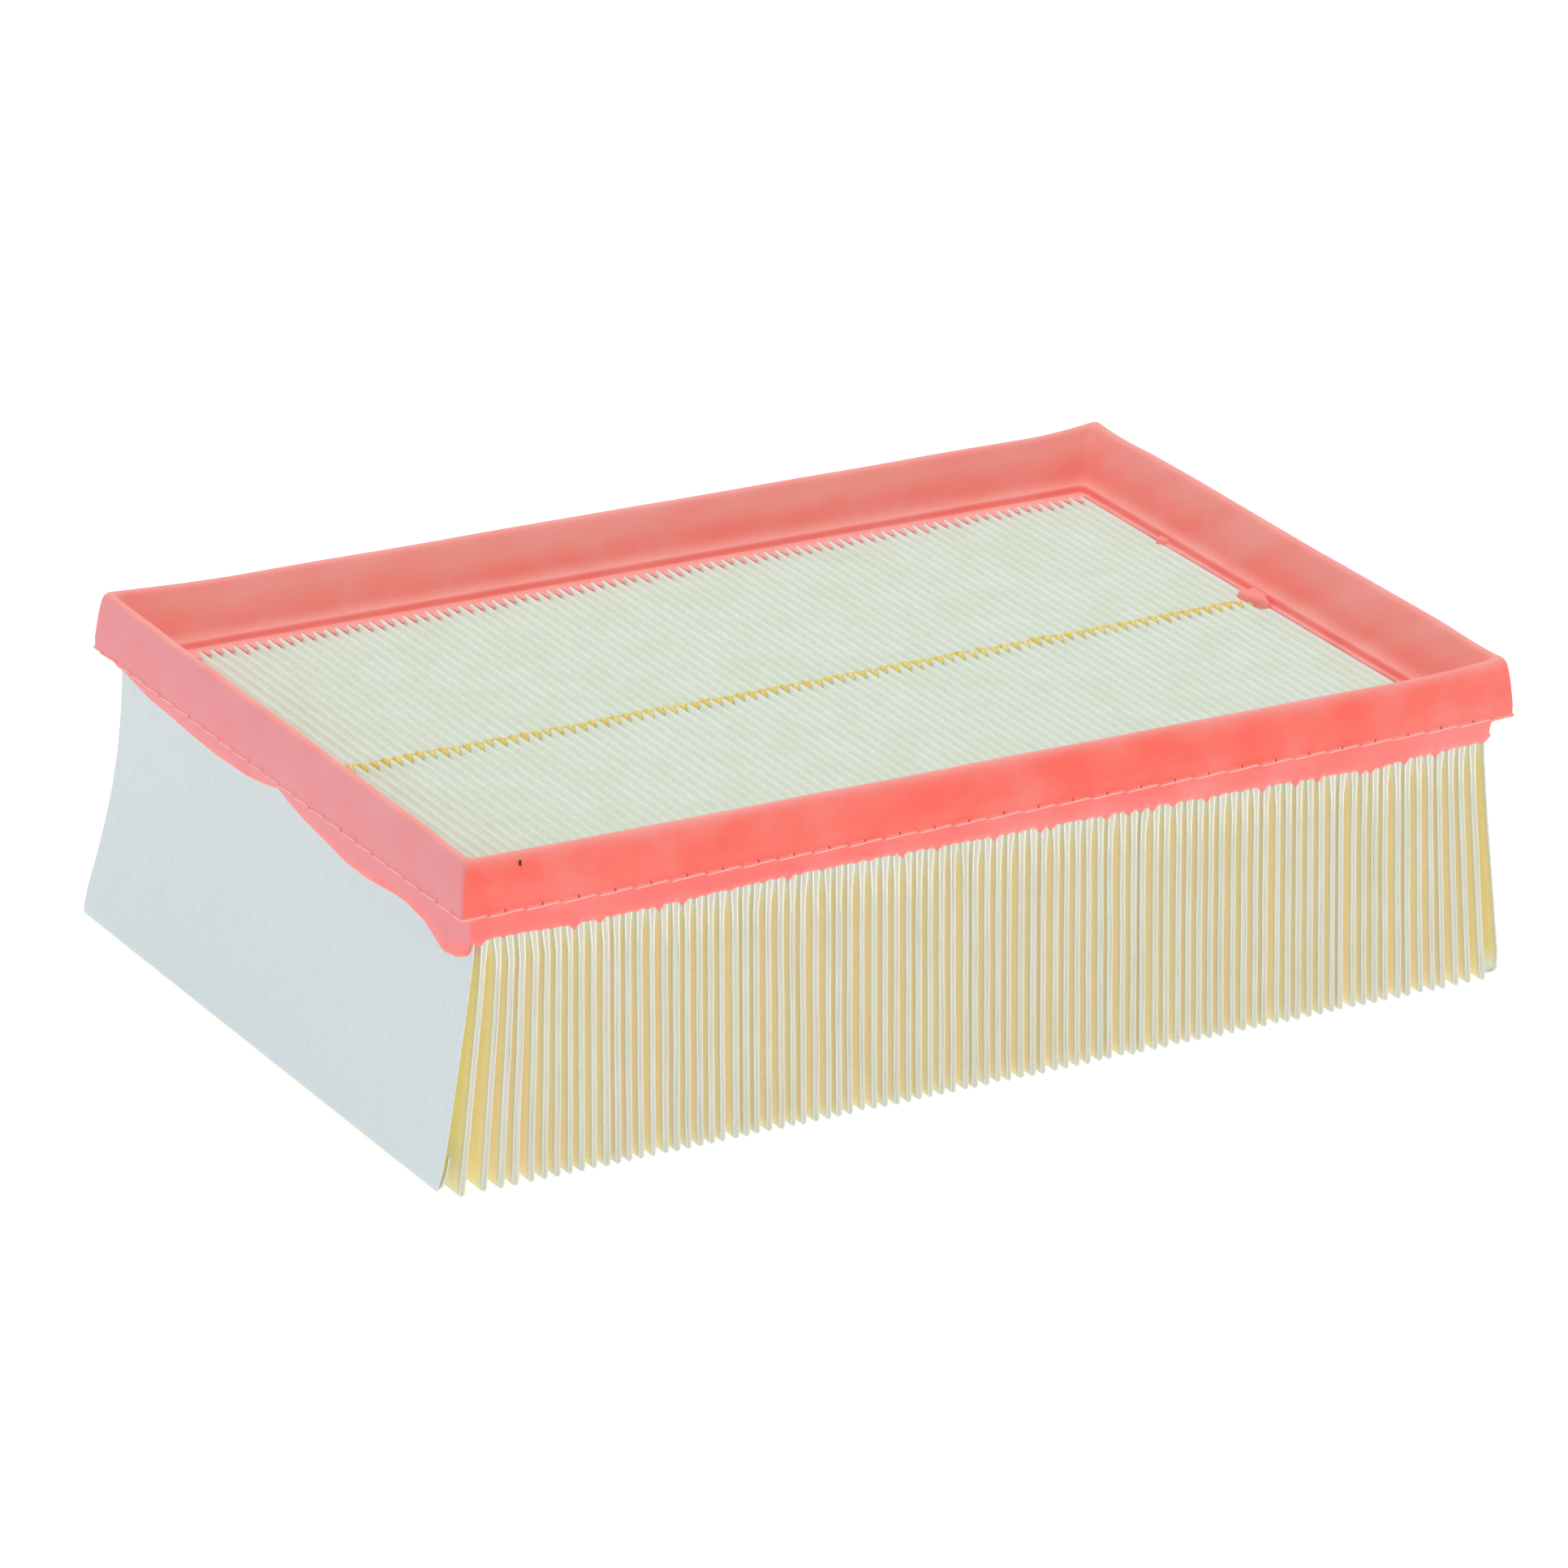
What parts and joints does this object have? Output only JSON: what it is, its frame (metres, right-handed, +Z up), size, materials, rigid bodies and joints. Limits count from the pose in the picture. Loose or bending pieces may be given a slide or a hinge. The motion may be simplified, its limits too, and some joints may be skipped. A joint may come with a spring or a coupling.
{
  "type": "air filter",
  "caption": "Rectangular panel air filter: a moulded polyurethane sealing frame around a deep pleated paper pack with hot-melt spacer beads.",
  "frame": {"origin": "under the middle of the bounding box, at the height of the lower glue bead that the filter rests on", "axes": "+Z up out of the open recess above the pleats, X along the frame's long side, Y along its short side and along the folds"},
  "size_m": [0.2954, 0.194, 0.0855],
  "materials": {
    "polyurethane": "soft matt moulded polyurethane, coral red, slightly mottled",
    "filter_paper": "matt resin-treated filter paper, white with a green-yellow tint in the folds",
    "hot_melt": "translucent amber hot-melt glue",
    "edge_glue": "off-white glue line closing the ends of the pleats"
  },
  "bodies": {
    "root": {"polyurethane_frame": "polyurethane", "pleated_media": "filter_paper", "top_glue_bead": "hot_melt", "bottom_glue_bead": "hot_melt", "front_edge_glue": "edge_glue", "rear_edge_glue": "edge_glue"}
  },
  "joints": []
}
